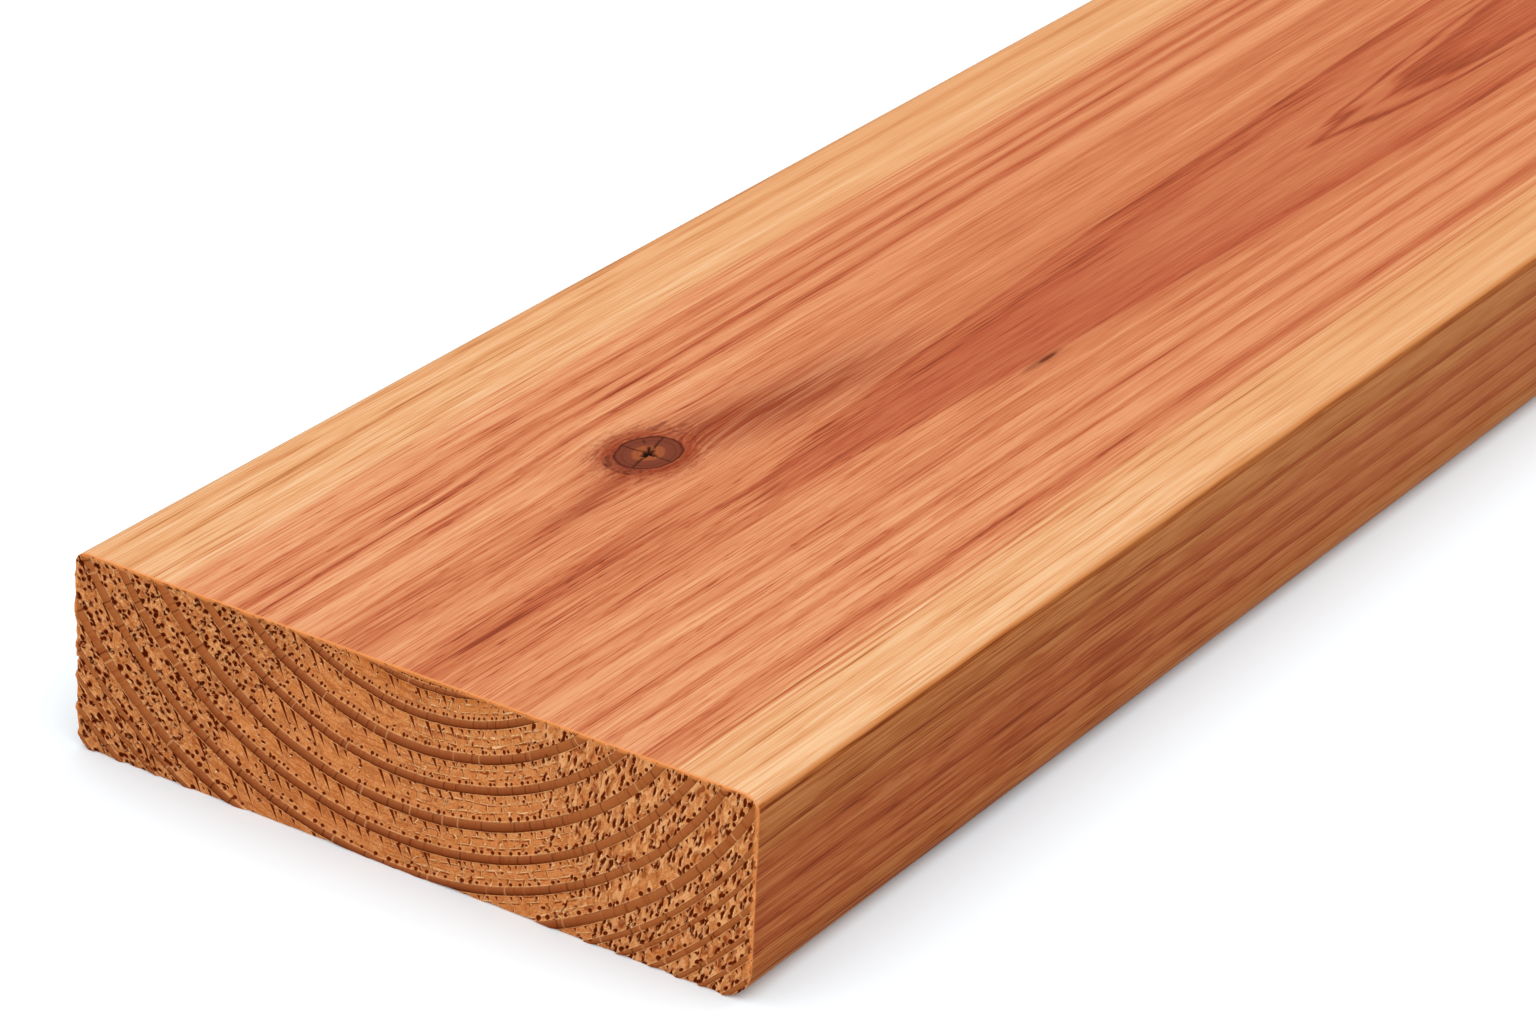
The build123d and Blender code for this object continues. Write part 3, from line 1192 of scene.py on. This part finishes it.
def earlywood(graph, at):
    """Colour and bumps of the wood between bands: sandy, waved along the rings, and lumpy where torn."""
    sand = graph.noise(1.9 * at.arc, 2.4 * at.radius, 0.0, 2.0, 0.75)
    near_heart = at.radius.smooth(43.0, 40.6) * at.patchy.smooth(0.35, 0.55)
    lumps = graph.noise(0.75 * at.lean_across, 0.3 * at.lean_along, 9.0, 1.0, 0.5, 0.6)
    sponge = graph.noise(0.75 * at.arc, 0.9 * at.radius, 4.0, 2.0, 0.6, 0.8)
    carved = sponge.toward(lumps, at.torn)
    rough = at.torn.at_least(0.8 * at.pitted)
    colour = (0.75 * sand + 0.4 * at.patchy - 0.075).ramp(EARLYWOOD_COLOURS).coats(
        (HEART_PATCH_COLOUR, 0.8 * near_heart),
        # Painted shade in the hollows of the pitted and torn stretches, and painted highlight on their lumps
        (GROOVE_COLOUR, 0.8 * rough * carved.smooth(0.45, 0.33)),
        (RIM_COLOUR, 0.4 * rough * carved.smooth(0.52, 0.64)),
        (GROOVE_COLOUR, 0.35 * at.combed * abs(at.waves - 0.5).smooth(0.075, 0.03)),
    )
    return colour, 0.2 * sand + 0.6 * rough * carved.smooth(0.32, 0.66)


def brick_joints(graph, at):
    """Pale joints of the bricked stretch, and the shade on their lower side."""
    along = at.arc + 2.6 * (at.patchy - 0.5) + 1.17 * at.row
    up = at.since + 1.5 * (at.waves - 0.5) + 0.35
    kept = at.bricked * graph.noise(0.8 * at.arc, 0.8 * at.radius, 21.0, 1.0).smooth(0.40, 0.56)
    shade = graph.bricks(along + 2 * BRICK_JOINT, up - 2 * BRICK_JOINT)
    return kept * graph.bricks(along, up), kept * shade


def pit_borders(graph, at):
    """Slits that hang from each band, pores along its inner edge and scattered holes.

    Gives how far the nearest one's border is in mm, less than 0 inside, and the same for the lips' painted
    highlight.
    """
    fall = at.z * math.sin(COMB_LEAN) - at.y * math.cos(COMB_LEAN)
    slit_off, slit_own = graph.beads(fall, at.row, SLIT_SPACING, 40.0)
    slit_half = 0.32 - 0.30 * (at.since / (0.8 + 1.9 * at.combed * slit_own))
    slit = slit_off - slit_half + NOWHERE * at.since.smooth(0.26, 0.14)
    pore_off, pore_own = graph.beads(at.arc, at.row, PORE_SPACING, 0.0)
    pore = graph.far(pore_off, at.until - PORE_DEPTH) - (0.20 + 0.16 * pore_own)
    hole_density = at.angle.profile(HOLE_DENSITY)
    tear_density = at.angle.profile(TEAR_DENSITY)
    pull_out = HOLE_WARP * (graph.noise(at.arc, at.radius, 0.0, 1.0) - 0.5)
    pull_along = HOLE_WARP * (graph.noise(at.arc, at.radius, 30.0, 1.0) - 0.5)

    def all_holes(drop):
        """Holes along the rings and in the torn stretch, moved by a drop."""
        out = at.radius + pull_out - drop
        across = at.lean_across + 0.7 * pull_out - drop
        torn_along = at.lean_along + 1.6 * pull_along
        holes = graph.holes(out, at.arc + pull_along, HOLE_CELL, hole_density)
        return holes.at_most(graph.holes(across, torn_along, TEAR_CELL, tear_density))

    return slit.at_most(pore).at_most(all_holes(0.0)), all_holes(LIP_HIGHLIGHT_DROP)


def end_grain():
    """Sawn ends: latewood bands edged with pores, and earlywood that is pitted, combed, bricked or torn."""
    material = bpy.data.materials.new("cedar_end_grain")
    graph = Graph(material)
    at = end_point(graph)
    early, bumps = earlywood(graph, at)
    joint, shade = brick_joints(graph, at)
    border, lip_highlight = pit_borders(graph, at)
    # Painted shade in the slits, pores and holes
    dark = at.darkness * border.smooth(0.05, -0.16)
    # Painted highlight round the pits and on the holes' lower lips
    rim = (0.2 * border.smooth(0.40, 0.20)).at_least(lip_highlight.smooth(0.12, -0.06))
    late = at.phase.smooth(LATEWOOD_START - 0.012, LATEWOOD_START + 0.012)
    # Painted highlight along the end's top and side edges
    side_highlight = abs(at.y).smooth(WIDTH / 2 - END_HIGHLIGHT_DEPTH[0], WIDTH / 2 - END_HIGHLIGHT_DEPTH[1])
    top_highlight = at.z.smooth(THICKNESS - END_HIGHLIGHT_DEPTH[0], THICKNESS - END_HIGHLIGHT_DEPTH[1])
    colour = early.coats(
        (GROOVE_COLOUR, 0.9 * shade),
        (RIM_COLOUR, 0.9 * joint),
        # Painted highlight along each band's upper edge
        (RIM_COLOUR, 0.45 * at.until.smooth(0.28, 0.04)),
        (RIM_COLOUR, 0.35 * at.since.smooth(0.24, 0.06)),
        (RIM_COLOUR, 0.85 * rim),
        # Painted shade: brown round the pits and dark in them
        (GROOVE_COLOUR, border.smooth(0.20 + 0.08 * at.pitted, 0.0)),
        (PIT_COLOUR, dark),
        (latewood(graph, at), late),
        # Painted highlight on the rims of the mesh's pits, and painted shade in the pits
        (RIM_COLOUR, 0.55 * at.mark.smooth(0.25, 1.0)),
        (GROOVE_COLOUR, at.mark.smooth(-0.02, -0.25)),
        (PIT_COLOUR, at.darkness * at.mark.smooth(-0.15, -0.5)),
        (END_EDGE_HIGHLIGHT, 0.65 * side_highlight.at_least(top_highlight)),
    )
    bumps = bumps + 0.3 * joint + 0.2 * rim - 0.7 * dark
    graph.finish(colour, SAWN_ROUGHNESS, 0.0, 0.5 + bumps * (1.0 - late), SAWN_BUMP, 1.0)
    return material


# The plank

def build_plank():
    shell, end_edges = build_shell()
    points = np.concatenate(shell.blocks)
    s, y, z, _, mark = points.T
    mesh = bpy.data.meshes.new("cedar_plank")
    mesh.from_pydata((np.stack([s - LENGTH / 2, y, z], axis=-1) * MM).tolist(), [], shell.faces)
    mesh.materials.append(long_grain())
    mesh.materials.append(end_grain())
    is_end = np.isin(shell.sides, (NEAR_END, FAR_END))
    mesh.polygons.foreach_set("material_index", is_end.astype(np.int32))
    mesh.polygons.foreach_set("use_smooth", np.ones(len(shell.faces), bool))
    edges = np.empty(len(mesh.edges) * 2, np.int32)
    mesh.edges.foreach_get("vertices", edges)
    sharp = np.isin(edges.reshape(-1, 2), end_edges).all(axis=1)
    mesh.attributes.new("sharp_edge", "BOOLEAN", "EDGE").data.foreach_set("value", sharp)
    add_attributes(mesh, s, y, z, mark)
    uv = map_positions(points, shell.faces, shell.sides, shell.girth)
    mesh.uv_layers.new(name="OFBake").data.foreach_set("uv", uv.astype(np.float32).ravel())
    mesh.update()
    plank = bpy.data.objects.new("cedar_plank", mesh)
    bpy.context.scene.collection.objects.link(plank)
    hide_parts("plank")
    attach(plank, "root")


build_plank()


# Floor, light and camera

FLOOR_HALF = 40.0  # metres
SUN_DIRECTION = Vector((-0.20, -0.12, 0.97))  # from the plank towards the light
SUN_SHARE = 1.28  # of what lights a white surface fully, so the floor shows plain white
SUN_ANGLE = 130.0
SKY_SHARE = 0.12
FLOOR_COLOUR = (0.865, 0.935, 0.976, 1.0)

CAMERA_PLACE = Vector((-625.48, -463.41, 454.63))  # from the middle of the near end's lower edge
CAMERA_RIGHT = Vector((0.55111, -0.83327, 0.04404))
CAMERA_DOWN = Vector((-0.34883, -0.27801, -0.89500))
LENS = 126.05
SENSOR = 36.0


def build_floor():
    mesh = bpy.data.meshes.new("floor")
    corners = [(x * FLOOR_HALF, y * FLOOR_HALF, 0.0) for x, y in ((-1, -1), (1, -1), (1, 1), (-1, 1))]
    mesh.from_pydata(corners, [], [(0, 1, 2, 3)])
    material = bpy.data.materials.new("floor_white")
    graph = Graph(material)
    shader = graph.value("BSDF", "BsdfDiffuse", {"Color": FLOOR_COLOUR})
    graph.node("OutputMaterial", {"Surface": shader})
    mesh.materials.append(material)
    floor = bpy.data.objects.new("floor", mesh)
    bpy.context.scene.collection.objects.link(floor)


def build_light():
    """A broad soft sun from above, a little in front, and a dim even sky that looks white itself."""
    sun = bpy.data.lights.new("sun", "SUN")
    sun.energy = math.pi * SUN_SHARE
    sun.angle = math.radians(SUN_ANGLE)
    lamp = bpy.data.objects.new("sun", sun)
    lamp.rotation_euler = SUN_DIRECTION.to_track_quat("Z", "Y").to_euler()
    bpy.context.scene.collection.objects.link(lamp)
    world = bpy.data.worlds.new("sky")
    graph = Graph(world)
    in_view = graph.value("Is Camera Ray", "LightPath")
    strength = graph.value("Result", "MapRange", {"Value": in_view, "To Min": SKY_SHARE, "To Max": 1.0})
    sky = graph.value("Background", "Background", {"Color": (1.0, 1.0, 1.0, 1.0), "Strength": strength})
    graph.node("OutputWorld", {"Surface": sky})
    bpy.context.scene.world = world


def build_camera():
    data = bpy.data.cameras.new("camera")
    data.lens = LENS
    data.sensor_width = SENSOR
    camera = bpy.data.objects.new("camera", data)
    up = -CAMERA_DOWN
    back = CAMERA_RIGHT.cross(up)
    place = (CAMERA_PLACE - Vector((LENGTH / 2, 0.0, 0.0))) * MM
    camera.matrix_world = Matrix.Translation(place) @ Matrix((CAMERA_RIGHT, up, back)).transposed().to_4x4()
    bpy.context.scene.collection.objects.link(camera)
    bpy.context.scene.camera = camera


build_floor()
build_light()
build_camera()
bpy.context.scene.view_settings.view_transform = "Standard"
